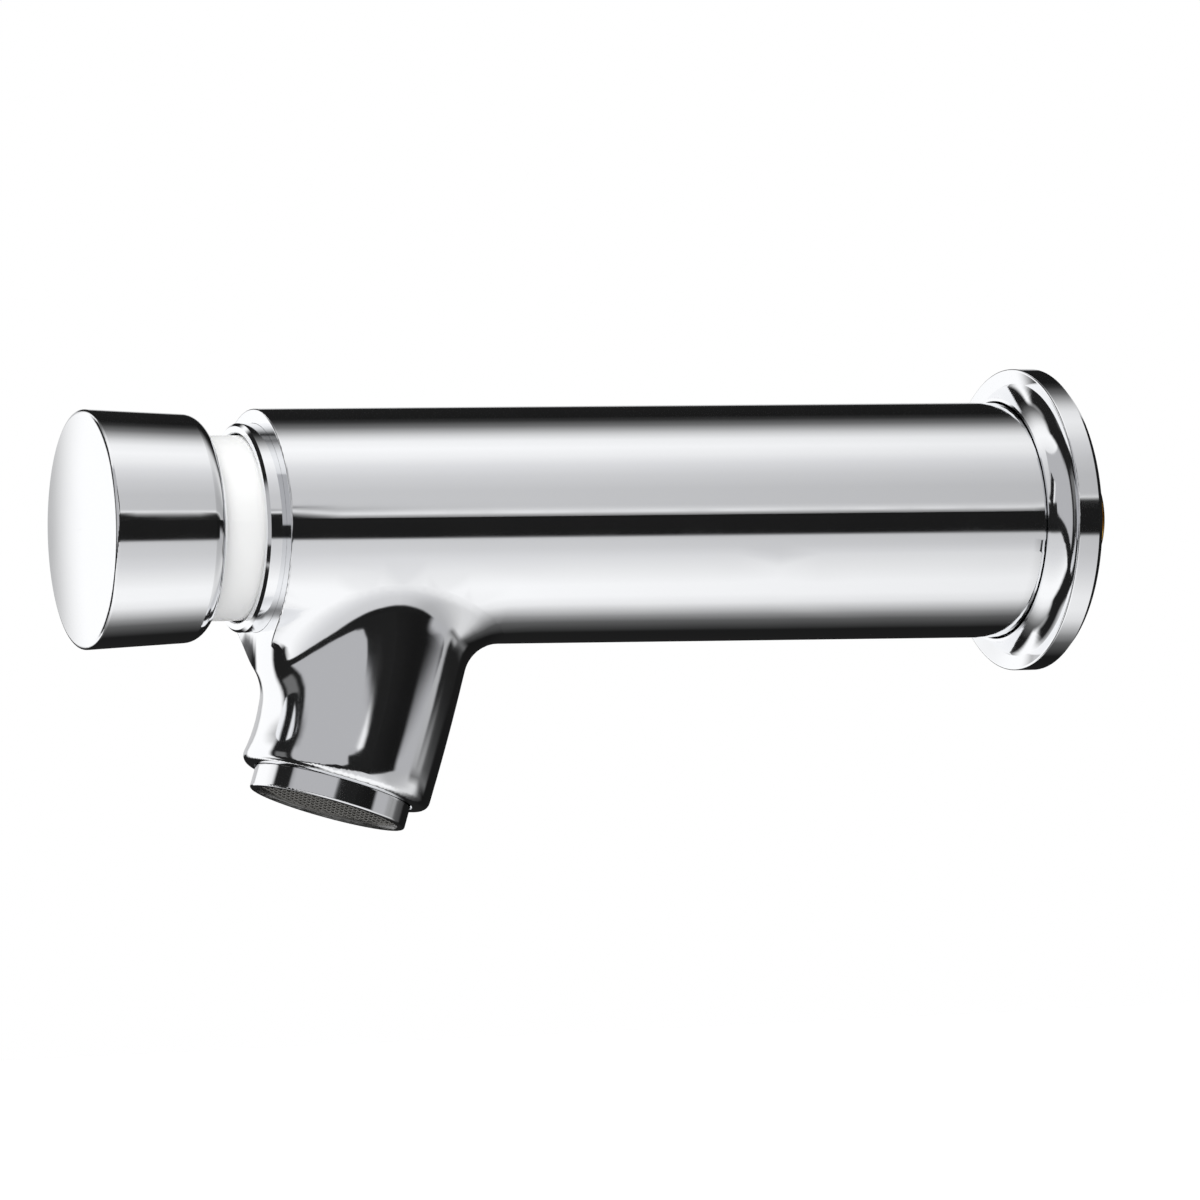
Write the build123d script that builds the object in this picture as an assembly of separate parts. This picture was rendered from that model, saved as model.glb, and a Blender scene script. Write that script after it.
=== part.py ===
"""Wall-mounted push tap that closes by itself after a set time.

All lengths are in millimetres and +Z is up. The barrel lies along Y: the wall is the plane
y = 0, the button points to -Y and the spout hangs down. The origin is on the barrel's axis at
the wall. Places along the barrel are given as a reach, which is the distance from the wall to
the front, so y = -reach. A turned piece is an outline of (radius, reach) points.
"""
import math
import os

from build123d import *

# Fits between pieces
fit_gap = 0.05           # radial gap of pieces that are fastened to each other
run_gap = 0.06           # radial gap of pieces that slide in each other
free_gap = 0.35          # gap of a moving piece beside one that doesn't guide it
seal_gap = 0.03          # gap of a rubber ring in its groove
overrun = 2.0            # how far a cut runs past what it cuts
edge_round = 0.4         # rounding of small outer edges
wire_sides = 6           # facets round a hidden seal or wire

# Push rod and what sits on it
rod_r = 3.0
rod_end = 1.2
rod_thread_depth = 5.6
bush_wall = 2.2
bush_lip = 0.7
bush_flange = 1.0
clip_width = 0.8
clip_height = 2.0
clip_groove = 0.5

# Timing chamber, piston and spring
travel = 6.55            # how far the button goes in
chamber_width = 9.0      # from the rod to the chamber's wall
piston_gap = 1.0
piston_length = 7.0
piston_margin = 0.6
piston_web = 3.0
lip_width = 1.6
jet_r = 1.2
jet_hole_r = 0.3
jet_margin = 3.8
spring_wire_r = 0.7
spring_margin = 3.4
spring_turns = 4
spring_seat_gap = 0.3

# Cartridge head, whose front part is the white neck
cartridge_wall = 3.0
head_wall = 8.0
head_depth = 18.2        # from the barrel's mouth to the head's rear end
head_thread_length = 4.0
spigot_step = 2.2
groove_width = 3.2
groove_depth = 2.1

# Cartridge body, valve seat and valve
cartridge_length = 25.0
partition = 4.5
outlet_chamber_step = 5.4
port_zone_step = 1.6
port_front_margin = 2.5
port_back_margin = 8.5
port_r = 3.0
port_count = 4
body_seal_margin = 4.3
seat_step = 3.6
seat_recess = 6.0
seat_thickness = 4.0
seat_margin = 3.4
seat_lip_width = 0.9
seat_lip_height = 1.0
seat_bore_step = 1.5
washer_margin = 2.0
washer_thickness = 2.2
washer_hole_gap = 0.4
poppet_wall = 1.0
poppet_base = 2.2
closing_gap = 0.1
valve_nut_wall = 2.0
valve_nut_thickness = 3.6

# Barrel, from the cartridge outwards
cartridge_gap = 0.3
nut_seat_width = 2.5
mouth_wall = 2.4
barrel_flare = 0.85      # how much wider the barrel is at the wall
mouth_reach = 148.2
mouth_round = 0.3
barrel_back_reach = 2.0
back_chamfer = 0.8
nut_bore_depth = 9.0
back_wall = 12.0

# Cartridge nut
nut_protrusion = 3.2
nut_ledge = 2.1
nut_front_chamfer = 0.5
nut_skirt = 7.0

# Push button
button_length = 20.2
button_wall = 3.5
button_flare = 1.0
button_dome = 0.5
button_front_round = 0.7
button_rear_round = 2.8
button_roof = 4.0
boss_wall = 3.5
boss_length = 3.0

# Spout, whose margins are measured back from the barrel's mouth
rim_margin = 12.7
rim_drop = 44.2
rim_tilt = 18.4
rim_wall = 2.65
rim_round = 1.6
spout_root_margin = 0.6
spout_root_drop = 5.0
spout_root_length = 41.2
spout_root_width = 31.0
spout_waist_margin = 1.5
spout_waist_drop_share = 0.5656
spout_waist_length = 35.0
spout_waist_step = 0.55
spout_blend = 8.0
waterway_r = 6.4

# Aerator, in its own frame: lengths are distances out from the spout's rim
collar_r = 13.6
collar_length = 3.9
collar_round = 0.35
collar_recess = 0.8
collar_step = 1.6
aerator_bore_depth = 11.0
aerator_thread_length = 8.0
aerator_wall = 1.4
aerator_lip = 0.9
screen_seat_wall = 1.2
screen_seat_depth = 1.9
screen_frame = 0.9
screen_recess = 0.5
screen_mesh = 0.3
insert_top = 2.0
insert_wall = 1.0
insert_jet_count = 8
insert_jet_r = 0.9
insert_jet_margin = 3.8
aerator_washer_thickness = 1.6

# Wall flange, its seal and its gasket
flange_width = 5.95
flange_back_chamfer = 1.2
flange_band = 5.3
flange_band_round = 0.3
flange_top_reach = 8.4
flange_cove_r = 4.5
flange_cove_turn = 65   # angle of the cove's arc
flange_lip = 0.5
flange_bore_gap = 0.25
flange_shell = 2.2
gasket_gap = 1.15
gasket_thickness = 2.6
flange_seal_r = 0.7
flange_seal_reach = 3.8

# Inlet
inlet_r = 10.4775
inlet_length = 9.0
inlet_chamfer = 1.2
inlet_start_reach = 0.5
nipple_step = 1.5
nipple_collar_width = 2.2
nipple_wall = 2.9
nipple_key_across = 12.0
nipple_key_depth = 7.0
nipple_seal_thickness = 0.8
strainer_gap = 0.7
strainer_length = 11.0
strainer_wall = 0.5
strainer_ledge = 1.0
strainer_flange = 1.0
strainer_rows = 3
strainer_columns = 8
strainer_slot = 1.7
strainer_seat_depth = 2.2
strainer_clip_width = 0.7

# Radii that follow, from the rod outwards
bush_r = rod_r + bush_wall
bush_flange_r = bush_r + bush_lip
clip_r = rod_r + clip_height
boss_r = rod_r + boss_wall
chamber_r = rod_r + chamber_width
piston_r = chamber_r - piston_margin
spring_r = chamber_r - spring_margin
jet_place_r = chamber_r - jet_margin
cartridge_r = chamber_r + cartridge_wall
spigot_r = cartridge_r - spigot_step
port_zone_r = cartridge_r - port_zone_step
outlet_chamber_r = cartridge_r - outlet_chamber_step
seat_r = cartridge_r - seat_step
seat_lip_r = seat_r - seat_margin
seat_bore_r = seat_lip_r - seat_bore_step
washer_r = seat_r - washer_margin
poppet_r = washer_r + poppet_wall
cartridge_bore_r = cartridge_r + cartridge_gap
nut_bore_r = cartridge_bore_r + nut_seat_width
neck_r = nut_bore_r - nut_ledge
mouth_r = nut_bore_r + mouth_wall
barrel_wall_end_r = mouth_r + barrel_flare
button_rear_r = neck_r + button_wall
button_front_r = button_rear_r + button_flare
flange_r = barrel_wall_end_r + flange_width
rim_r = collar_r + free_gap + rim_wall
spout_waist_width = (rim_r - spout_waist_step) * 2
aerator_thread_r = collar_r - collar_step
aerator_bore_r = aerator_thread_r - aerator_wall
screen_seat_r = collar_r - screen_seat_wall
insert_jet_place_r = aerator_bore_r - insert_jet_margin
nipple_root_r = inlet_r + nipple_step
nipple_collar_r = nipple_root_r + nipple_collar_width
nipple_bore_r = inlet_r - nipple_wall
strainer_r = nipple_bore_r - strainer_gap
strainer_flange_r = nipple_bore_r + strainer_ledge

# Reaches that follow, from the barrel's mouth. The button stops just before the nut, and its
# boss then just clears the cartridge head
nut_front_reach = mouth_reach + nut_protrusion
button_rear_reach = nut_front_reach + free_gap + travel
button_front_reach = button_rear_reach + button_length
boss_reach = button_front_reach - button_roof - boss_length
head_front_reach = boss_reach - travel - 2 * free_gap
head_back_reach = mouth_reach - head_depth
head_shoulder_reach = mouth_reach - nut_bore_depth
head_seal_reach = (head_back_reach + head_thread_length + head_shoulder_reach) / 2
cartridge_back_reach = head_back_reach - cartridge_length
port_zone_front = head_back_reach - port_front_margin
port_zone_back = cartridge_back_reach + port_back_margin
body_seal_reach = cartridge_back_reach + body_seal_margin
seat_front_reach = cartridge_back_reach + seat_recess
rim_reach = mouth_reach - rim_margin
spout_root_reach = mouth_reach - spout_root_margin - spout_root_length / 2
spout_waist_reach = mouth_reach - spout_waist_margin - spout_waist_length / 2
spout_waist_drop = rim_drop * spout_waist_drop_share

# The piston stands just behind the head's front wall when the tap is closed
piston_front_reach = head_front_reach - head_wall - piston_gap
piston_back_reach = piston_front_reach - piston_length
washer_front_reach = seat_front_reach - seat_thickness - seat_lip_height - closing_gap
poppet_back_reach = washer_front_reach - washer_thickness - poppet_base
rod_back_reach = poppet_back_reach - valve_nut_thickness - rod_end


def turned(*outline):
    """Solid turned about the Y axis from (radius, reach) or (radius, reach, rounding) corners."""
    points = [(corner[0], -corner[1]) for corner in outline]
    rounding = [corner[2] if len(corner) > 2 else 0 for corner in outline]
    edge = FilletPolyline(*points, radius=rounding, close=True)
    return revolve(make_face(edge), Axis.Y)


def ring(inner_r, outer_r, back, front):
    """Plain ring, or a disc where the inner radius is zero, between two reaches."""
    return turned((inner_r, back), (outer_r, back), (outer_r, front), (inner_r, front))


def o_ring(inner_r, outer_r, reach):
    """Rubber ring that fills the space between two radii, with facets in place of its round."""
    section_r = (outer_r - inner_r) / 2 - seal_gap
    section = Pos((inner_r + outer_r) / 2, -reach) * RegularPolygon(section_r, wire_sides)
    return revolve(section, Axis.Y)


def around(solid, count):
    """Copies of a solid, spread evenly about the Y axis."""
    return [Rot(0, 360 / count * number, 0) * solid for number in range(count)]


def hexagon(across, back, front):
    """Hexagonal prism along the Y axis between two reaches."""
    place = Plane(origin=(0, -back, 0), z_dir=(0, -1, 0))
    sketch = place * RegularPolygon(across / 2, 6, major_radius=False)
    return extrude(sketch, front - back)


def at_outlet(solid):
    """Moves what was turned about the Y axis at reach zero to the spout's rim."""
    return Pos(0, -rim_reach, -rim_drop) * Rot(90 - rim_tilt, 0, 0) * solid


def barrel_r(reach):
    """Outer radius of the barrel, which widens slightly towards the wall."""
    share = (mouth_reach - reach) / (mouth_reach - barrel_back_reach)
    return mouth_r + (barrel_wall_end_r - mouth_r) * share


def level_ellipse(reach, drop, length, width):
    """Ellipse in a level plane below the barrel's axis."""
    return Pos(0, -reach, -drop) * Ellipse(width / 2, length / 2)


# Chromed casting: barrel and spout in one piece
def tap_body():
    long_reach = mouth_reach + spout_blend * 2
    barrel = turned(
        (0, barrel_back_reach),
        (barrel_r(barrel_back_reach) - back_chamfer, barrel_back_reach),
        (barrel_r(barrel_back_reach), barrel_back_reach + back_chamfer),
        (barrel_r(long_reach), long_reach),
        (0, long_reach),
    )
    rim = at_outlet(Rot(90, 0, 0) * Circle(rim_r))
    spout = loft([
        level_ellipse(spout_root_reach, spout_root_drop, spout_root_length, spout_root_width),
        level_ellipse(spout_waist_reach, spout_waist_drop, spout_waist_length, spout_waist_width),
        rim,
    ])
    low_edge = spout.edges().sort_by(Axis.Z)[0]
    spout = fillet(low_edge, rim_round)
    outside = barrel + spout
    seam = [edge for edge in outside.edges() if is_seam(edge)]
    outside = fillet(seam, spout_blend)

    # The barrel is cut off at its mouth only now, so that the blend can run out over the face
    outside -= ring(0, spout_waist_drop, mouth_reach, long_reach + overrun)
    mouth_edges = [edge for edge in outside.edges()
                   if math.isclose(edge.center().Y, -mouth_reach, rel_tol=1e-6)]
    outside = fillet(mouth_edges, mouth_round)

    hollow = turned(
        (0, barrel_back_reach + back_wall),
        (cartridge_bore_r, barrel_back_reach + back_wall),
        (cartridge_bore_r, head_shoulder_reach),
        (nut_bore_r, head_shoulder_reach),
        (nut_bore_r, mouth_reach + overrun),
        (0, mouth_reach + overrun),
    )
    inlet_hole = ring(0, nipple_root_r + fit_gap, barrel_back_reach - overrun,
                      barrel_back_reach + back_wall + overrun)
    waterway = at_outlet(ring(0, waterway_r, -rim_drop / math.cos(math.radians(rim_tilt))
                              + port_zone_r, 0))
    thread_hole = at_outlet(turned(
        (0, -aerator_bore_depth),
        (aerator_thread_r + fit_gap, -aerator_bore_depth),
        (aerator_thread_r + fit_gap, -collar_recess),
        (collar_r + free_gap, -collar_recess),
        (collar_r + free_gap, overrun),
        (0, overrun),
    ))
    return outside - hollow - inlet_hole - waterway - thread_hole


def is_seam(edge):
    """True for the curve where the spout leaves the barrel."""
    middle = edge.position_at(0.5)
    low = -middle.Z > mouth_r / 4
    beside = math.hypot(middle.X, middle.Z) < barrel_wall_end_r + edge_round
    return low and beside and edge.geom_type not in (GeomType.LINE, GeomType.CIRCLE)


# Chromed ring nut in the barrel's mouth
def cartridge_nut():
    bore = neck_r + free_gap
    back = mouth_reach - nut_skirt
    return turned(
        (bore, back),
        (nut_bore_r - fit_gap, back),
        (nut_bore_r - fit_gap, nut_front_reach - nut_front_chamfer),
        (nut_bore_r - fit_gap - nut_front_chamfer, nut_front_reach),
        (bore + edge_round / 2, nut_front_reach),
        (bore, nut_front_reach - edge_round / 2),
    )


# White acetal head of the cartridge: neck, shoulder and timing cylinder
def cartridge_head():
    shoulder_front = mouth_reach - nut_skirt
    outside = turned(
        (0, head_back_reach),
        (cartridge_r, head_back_reach),
        (cartridge_r, head_shoulder_reach),
        (nut_bore_r - fit_gap, head_shoulder_reach),
        (nut_bore_r - fit_gap, shoulder_front),
        (neck_r, shoulder_front),
        (neck_r, head_front_reach - edge_round),
        (neck_r - edge_round, head_front_reach),
        (0, head_front_reach),
    )
    chamber = ring(0, chamber_r, head_back_reach - overrun, head_front_reach - head_wall)
    counterbore = ring(0, spigot_r, head_back_reach - overrun,
                       head_back_reach + head_thread_length)
    rod_hole = ring(0, rod_r + run_gap, head_back_reach, head_front_reach + overrun)
    rod_groove = ring(0, rod_r + groove_depth, rod_seal_reach() - groove_width / 2,
                      rod_seal_reach() + groove_width / 2)
    return (outside - chamber - counterbore - rod_hole - rod_groove
            - seal_groove(cartridge_r, head_seal_reach))


def rod_seal_reach():
    """Middle of the head's front wall."""
    return head_front_reach - head_wall / 2


def seal_groove(outer_r, reach):
    """Ring that is cut out of a round piece to hold a rubber ring."""
    return ring(outer_r - groove_depth, outer_r + overrun, reach - groove_width / 2,
                reach + groove_width / 2)


# Rear half of the cartridge, with the ports to the spout
def cartridge_body():
    outside = turned(
        (0, cartridge_back_reach),
        (cartridge_r - edge_round, cartridge_back_reach),
        (cartridge_r, cartridge_back_reach + edge_round),
        (cartridge_r, port_zone_back),
        (port_zone_r, port_zone_back),
        (port_zone_r, port_zone_front),
        (cartridge_r, port_zone_front),
        (cartridge_r, head_back_reach),
        (spigot_r - fit_gap, head_back_reach),
        (spigot_r - fit_gap, head_back_reach + head_thread_length - free_gap),
        (0, head_back_reach + head_thread_length - free_gap),
    )
    front_hollow = ring(0, spigot_r - groove_depth, head_back_reach,
                        head_back_reach + head_thread_length + overrun)
    outlet_chamber = ring(0, outlet_chamber_r, seat_front_reach, head_back_reach - partition)
    seat_hole = ring(0, seat_r + fit_gap, cartridge_back_reach - overrun, seat_front_reach)
    bush_hole = ring(0, bush_r + fit_gap, cartridge_back_reach, head_back_reach + overrun)
    middle = (port_zone_front + port_zone_back) / 2
    port = Pos(0, -middle, 0) * Cylinder(port_r, cartridge_r,
                                         align=(Align.CENTER, Align.CENTER, Align.MIN))
    body = outside - front_hollow - outlet_chamber - seat_hole - bush_hole
    return body - seal_groove(cartridge_r, body_seal_reach) - around(port, port_count)


def valve_seat():
    back = seat_front_reach - seat_thickness
    lip_inner = seat_lip_r - seat_lip_width
    return turned(
        (seat_bore_r, seat_front_reach),
        (seat_r, seat_front_reach),
        (seat_r, back),
        (seat_lip_r, back),
        (seat_lip_r, back - seat_lip_height / 2),
        (seat_lip_r - seat_lip_width / 3, back - seat_lip_height),
        (lip_inner, back - seat_lip_height),
        (seat_bore_r, back),
    )


def rod_bush():
    front = head_back_reach
    back = head_back_reach - partition
    return turned(
        (rod_r + run_gap, back),
        (bush_r, back),
        (bush_r, front),
        (bush_flange_r, front),
        (bush_flange_r, front + bush_flange),
        (rod_r + run_gap, front + bush_flange),
    )


# Chromed cap with a boss for the rod
def push_button():
    bore = neck_r + free_gap
    roof = button_front_reach - button_roof
    side = Polyline(
        (0, -boss_reach),
        (boss_r, -boss_reach),
        (boss_r, -roof),
        (bore, -roof),
        (bore, -button_rear_reach),
        (button_rear_r, -button_rear_reach),
        (button_front_r, -button_front_reach),
    )
    face = ThreePointArc(
        (button_front_r, -button_front_reach),
        (button_front_r / 2, -(button_front_reach + button_dome * 0.75)),
        (0, -(button_front_reach + button_dome)),
    )
    axis = Line((0, -(button_front_reach + button_dome)), (0, -boss_reach))
    cap = revolve(make_face(side + face + axis), Axis.Y)
    cap = fillet(circles(cap, button_front_r, button_front_reach), button_front_round)
    cap = fillet(circles(cap, button_rear_r, button_rear_reach),
                 min(button_rear_round, (button_rear_r - bore) * 0.95))
    rod_hole = ring(0, rod_r + fit_gap, boss_reach - overrun, rod_front_reach())
    return cap - rod_hole


def rod_front_reach():
    """Where the rod ends inside the button's boss."""
    return boss_reach + rod_thread_depth


def circles(solid, radius, reach):
    """The circular edges of a turned solid at one radius and reach."""
    return [
        edge for edge in solid.edges().filter_by(GeomType.CIRCLE)
        if math.isclose(edge.radius, radius, rel_tol=1e-4)
        and math.isclose(edge.arc_center.Y, -reach, rel_tol=1e-4)
    ]


def clip_reaches():
    """Rear faces of the two snap rings, one on each side of the piston's hub."""
    return [piston_back_reach - clip_width, piston_back_reach + piston_web]


def push_rod():
    rod = turned(
        (0, rod_back_reach),
        (rod_r - edge_round, rod_back_reach),
        (rod_r, rod_back_reach + edge_round),
        (rod_r, rod_front_reach() - edge_round),
        (rod_r - edge_round, rod_front_reach()),
        (0, rod_front_reach()),
    )
    grooves = [
        ring(rod_r - clip_groove, rod_r + overrun, reach, reach + clip_width)
        for reach in clip_reaches()
    ]
    return rod - grooves


def piston_clips():
    return [
        ring(rod_r - clip_groove + fit_gap, clip_r, reach, reach + clip_width)
        for reach in clip_reaches()
    ]


# Piston with a groove for its lip seal and a hole for the timing jet
def timing_piston():
    hub_front = piston_back_reach + piston_web
    body = turned(
        (rod_r + fit_gap, piston_back_reach),
        (piston_r, piston_back_reach),
        (piston_r, piston_back_reach + piston_web - lip_width),
        (piston_r - lip_width, piston_back_reach + piston_web - lip_width),
        (piston_r - lip_width, piston_front_reach),
        (clip_r + free_gap, piston_front_reach),
        (clip_r + free_gap, hub_front),
        (rod_r + fit_gap, hub_front),
    )
    jet_hole = Pos(0, 0, jet_place_r) * ring(0, jet_r + fit_gap, piston_back_reach - overrun,
                                             piston_front_reach + overrun)
    return body - jet_hole


def piston_seal():
    inner = piston_r - lip_width + fit_gap
    outer = chamber_r - run_gap
    back = piston_back_reach + piston_web - lip_width
    front = piston_front_reach - edge_round
    heel = back + lip_width
    return turned(
        (inner, back),
        (piston_r, back),
        (outer, front - edge_round),
        (outer - edge_round, front),
        ((inner + outer) / 2, heel),
        (inner, front),
    )


def timing_jet():
    jet = ring(jet_hole_r, jet_r, piston_back_reach, piston_front_reach)
    return Pos(0, 0, jet_place_r) * jet


# Open-coiled spring between the partition and the piston, with flat ground ends
def return_spring():
    back = head_back_reach + spring_seat_gap + spring_wire_r
    front = piston_back_reach - spring_seat_gap - spring_wire_r
    pitch = (front - back) / spring_turns
    path = Helix(pitch, front - back, spring_r, center=(0, -back, 0), direction=(0, -1, 0))
    wire = Plane(origin=path @ 0, z_dir=path % 0) * RegularPolygon(spring_wire_r, wire_sides)
    spring = sweep(wire, path=path)
    print(f"spring gap between turns {pitch - 2 * spring_wire_r:.2f} mm")
    return spring


def valve_poppet():
    back = poppet_back_reach
    return turned(
        (rod_r + fit_gap, back),
        (poppet_r - edge_round, back),
        (poppet_r, back + edge_round),
        (poppet_r, washer_front_reach - washer_thickness / 2),
        (washer_r + fit_gap, washer_front_reach - washer_thickness / 2),
        (washer_r + fit_gap, back + poppet_base),
        (rod_r + fit_gap, back + poppet_base),
    )


def valve_washer():
    return ring(rod_r + washer_hole_gap, washer_r, washer_front_reach - washer_thickness,
                washer_front_reach)


def valve_nut():
    across = (rod_r + valve_nut_wall) * 2
    nut = hexagon(across, poppet_back_reach - valve_nut_thickness, poppet_back_reach)
    hole = ring(0, rod_r + fit_gap, poppet_back_reach - valve_nut_thickness - overrun,
                poppet_back_reach + overrun)
    return nut - hole


# Chromed rosette: a lip round the barrel, a cove, an edge band and a hollow for the gasket
def wall_flange():
    bore = barrel_wall_end_r + flange_bore_gap
    lip_r = bore + flange_lip
    middle = (lip_r + flange_cove_r, -flange_top_reach)
    cove = CenterArc(middle, flange_cove_r, 180 - flange_cove_turn, flange_cove_turn)
    outline = Polyline(
        cove @ 1,
        (bore, -flange_top_reach),
        (bore, 0),
        (flange_r - flange_back_chamfer, 0),
        (flange_r, -flange_back_chamfer),
        (flange_r, -flange_band),
        cove @ 0,
    )
    flange = revolve(make_face(outline + cove), Axis.Y)
    flange = fillet(circles(flange, flange_r, flange_band), flange_band_round)
    gasket_space = ring(0, gasket_outer_r() + fit_gap, -overrun, gasket_thickness)
    groove = o_groove()
    return flange - gasket_space - groove


def gasket_outer_r():
    """The gasket lies inside the flange's edge band."""
    return flange_r - flange_shell


def o_groove():
    """Ring cut in the flange's bore for the rubber ring that grips the barrel."""
    outer = barrel_wall_end_r + flange_seal_r * 2
    return ring(barrel_wall_end_r, outer, flange_seal_reach - flange_seal_r,
                flange_seal_reach + flange_seal_r)


def flange_seal():
    outer = barrel_wall_end_r + flange_seal_r * 2
    return o_ring(barrel_r(flange_seal_reach), outer, flange_seal_reach)


def flange_gasket():
    return ring(barrel_wall_end_r + gasket_gap, gasket_outer_r(), 0, gasket_thickness)


# Brass nipple: outer thread for the wall, collar, inner thread for the barrel
def inlet_nipple():
    collar_front = barrel_back_reach - nipple_seal_thickness
    front = barrel_back_reach + back_wall - edge_round
    body = turned(
        (0, -inlet_length),
        (inlet_r - inlet_chamfer, -inlet_length),
        (inlet_r, -inlet_length + inlet_chamfer),
        (inlet_r, inlet_start_reach),
        (nipple_collar_r, inlet_start_reach),
        (nipple_collar_r, collar_front),
        (nipple_root_r, collar_front),
        (nipple_root_r, front),
        (0, front),
    )
    bore = ring(0, nipple_bore_r, -inlet_length + nipple_key_depth, front + overrun)
    key = hexagon(nipple_key_across, -inlet_length - overrun, front)
    seat = ring(0, strainer_flange_r + fit_gap, front - strainer_seat_depth, front + overrun)
    return body - bore - key - seat


def nipple_seal():
    return ring(nipple_root_r + fit_gap, nipple_collar_r,
                barrel_back_reach - nipple_seal_thickness, barrel_back_reach)


# Strainer cup with rows of holes, its flange seated in the nipple's front end
def inlet_strainer():
    front = barrel_back_reach + back_wall - edge_round
    seat = front - strainer_seat_depth
    back = seat - strainer_length
    cup = turned(
        (0, back),
        (strainer_r - strainer_wall, back),
        (strainer_r, back + strainer_wall),
        (strainer_r, seat),
        (strainer_flange_r, seat),
        (strainer_flange_r, seat + strainer_flange),
        (strainer_r - strainer_wall, seat + strainer_flange),
        (strainer_r - strainer_wall, back + 2 * strainer_wall),
        (0, back + 2 * strainer_wall),
    )
    step = strainer_length / (strainer_rows + 1)
    holes = []
    for row in range(strainer_rows):
        hole = Pos(0, -(back + step * (row + 1)), 0) * Box(
            strainer_slot, strainer_slot, strainer_r + overrun,
            align=(Align.CENTER, Align.CENTER, Align.MIN))
        holes += around(hole, strainer_columns)
    return cup - holes


def strainer_clip():
    front = barrel_back_reach + back_wall - edge_round
    back = front - strainer_seat_depth + strainer_flange
    return ring(strainer_r, strainer_flange_r, back, back + strainer_clip_width)


# Aerator pieces
def aerator_ring():
    body = turned(
        (aerator_bore_r, -aerator_thread_length),
        (aerator_thread_r, -aerator_thread_length),
        (aerator_thread_r, -collar_recess),
        (collar_r, -collar_recess),
        (collar_r, collar_length, collar_round),
        (screen_seat_r, collar_length),
        (screen_seat_r, collar_length - screen_seat_depth),
        (aerator_bore_r - aerator_lip, collar_length - screen_seat_depth),
        (aerator_bore_r - aerator_lip, collar_length - screen_seat_depth - aerator_lip),
        (aerator_bore_r, collar_length - screen_seat_depth - aerator_lip),
    )
    return at_outlet(body)


def aerator_screen():
    back = collar_length - screen_seat_depth
    front = collar_length - screen_recess
    outer = screen_seat_r - fit_gap
    return at_outlet(turned(
        (0, front - screen_mesh),
        (outer - screen_frame, front - screen_mesh),
        (outer - screen_frame, back),
        (outer, back),
        (outer, front),
        (0, front),
    ))


def aerator_insert():
    bottom = collar_length - screen_seat_depth - aerator_lip
    top = -aerator_thread_length
    outer = aerator_bore_r - fit_gap
    cup = turned(
        (0, top + insert_top),
        (0, top),
        (outer, top),
        (outer, bottom),
        (outer - insert_wall, bottom),
        (outer - insert_wall, top + insert_top),
    )
    hole = Pos(insert_jet_place_r, 0, 0) * ring(0, insert_jet_r, top - overrun,
                                                top + insert_top + overrun)
    return at_outlet(cup - around(hole, insert_jet_count))


def aerator_washer():
    top = -aerator_thread_length - aerator_washer_thickness
    return at_outlet(ring(aerator_bore_r - aerator_washer_thickness, aerator_thread_r, top,
                          -aerator_thread_length))


def head_seal():
    return o_ring(cartridge_r - groove_depth, cartridge_bore_r, head_seal_reach)


def body_seal():
    return o_ring(cartridge_r - groove_depth, cartridge_bore_r, body_seal_reach)


def rod_seal():
    return o_ring(rod_r, rod_r + groove_depth, rod_seal_reach())


makers = [
    tap_body, wall_flange, flange_seal, flange_gasket, inlet_nipple, nipple_seal,
    inlet_strainer, strainer_clip, cartridge_nut, cartridge_head, head_seal, rod_seal,
    cartridge_body, body_seal, valve_seat, rod_bush, return_spring, push_button, push_rod,
    timing_piston, piston_seal, timing_jet, piston_clips, valve_poppet, valve_washer,
    valve_nut, aerator_ring, aerator_screen, aerator_insert, aerator_washer,
]

os.makedirs("parts", exist_ok=True)
for make in makers:
    name = make.__name__
    piece = make()
    if isinstance(piece, list):
        piece = Compound(children=[part for copy in piece for part in copy.solids()])
    export_step(piece, f"parts/{name}.step")
print(f"{len(makers)} nodes, button travel {travel:.2f} mm")
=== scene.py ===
# %% [markdown]
# # A push tap in polished chrome
# The tap comes from CAD with its true sizes, one mesh for each piece, in metres. The barrel lies
# along Y with the wall at y = 0, the button points to -Y and the spout hangs down. This lesson
# keeps those shapes and adds what only shows up close: finishes, a spout whose reflections run
# evenly, the inlet's screw thread, the woven screen in the outlet, and a small photo studio for
# the chrome to mirror.

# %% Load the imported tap
import math

import bmesh
import bpy
from mathutils import Matrix, Vector
from mathutils.kdtree import KDTree


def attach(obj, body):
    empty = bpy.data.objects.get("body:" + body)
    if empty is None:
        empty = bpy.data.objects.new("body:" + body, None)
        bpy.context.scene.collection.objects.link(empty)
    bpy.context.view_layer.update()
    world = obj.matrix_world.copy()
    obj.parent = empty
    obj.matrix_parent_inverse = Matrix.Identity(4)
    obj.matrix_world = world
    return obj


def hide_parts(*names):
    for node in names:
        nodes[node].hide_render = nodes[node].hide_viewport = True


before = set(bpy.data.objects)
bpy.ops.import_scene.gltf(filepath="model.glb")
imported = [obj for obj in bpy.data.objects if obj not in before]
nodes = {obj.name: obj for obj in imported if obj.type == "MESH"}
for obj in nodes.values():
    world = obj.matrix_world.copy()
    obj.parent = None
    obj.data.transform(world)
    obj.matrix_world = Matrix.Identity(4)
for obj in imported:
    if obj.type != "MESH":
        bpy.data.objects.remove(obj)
scene = bpy.context.scene
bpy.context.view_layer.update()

# %% [markdown]
# ## The camera
# The photograph was taken from the tap's right, a little in front of it and a little below its
# axis, with a long lens. A camera is a place and three directions. The place is worked out from
# the point in the middle of the picture and a distance, the directions from a turn round the tap,
# a height angle and a slight roll. A long lens far away keeps the barrel's edges nearly parallel,
# which a wide lens close by couldn't do.

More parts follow.
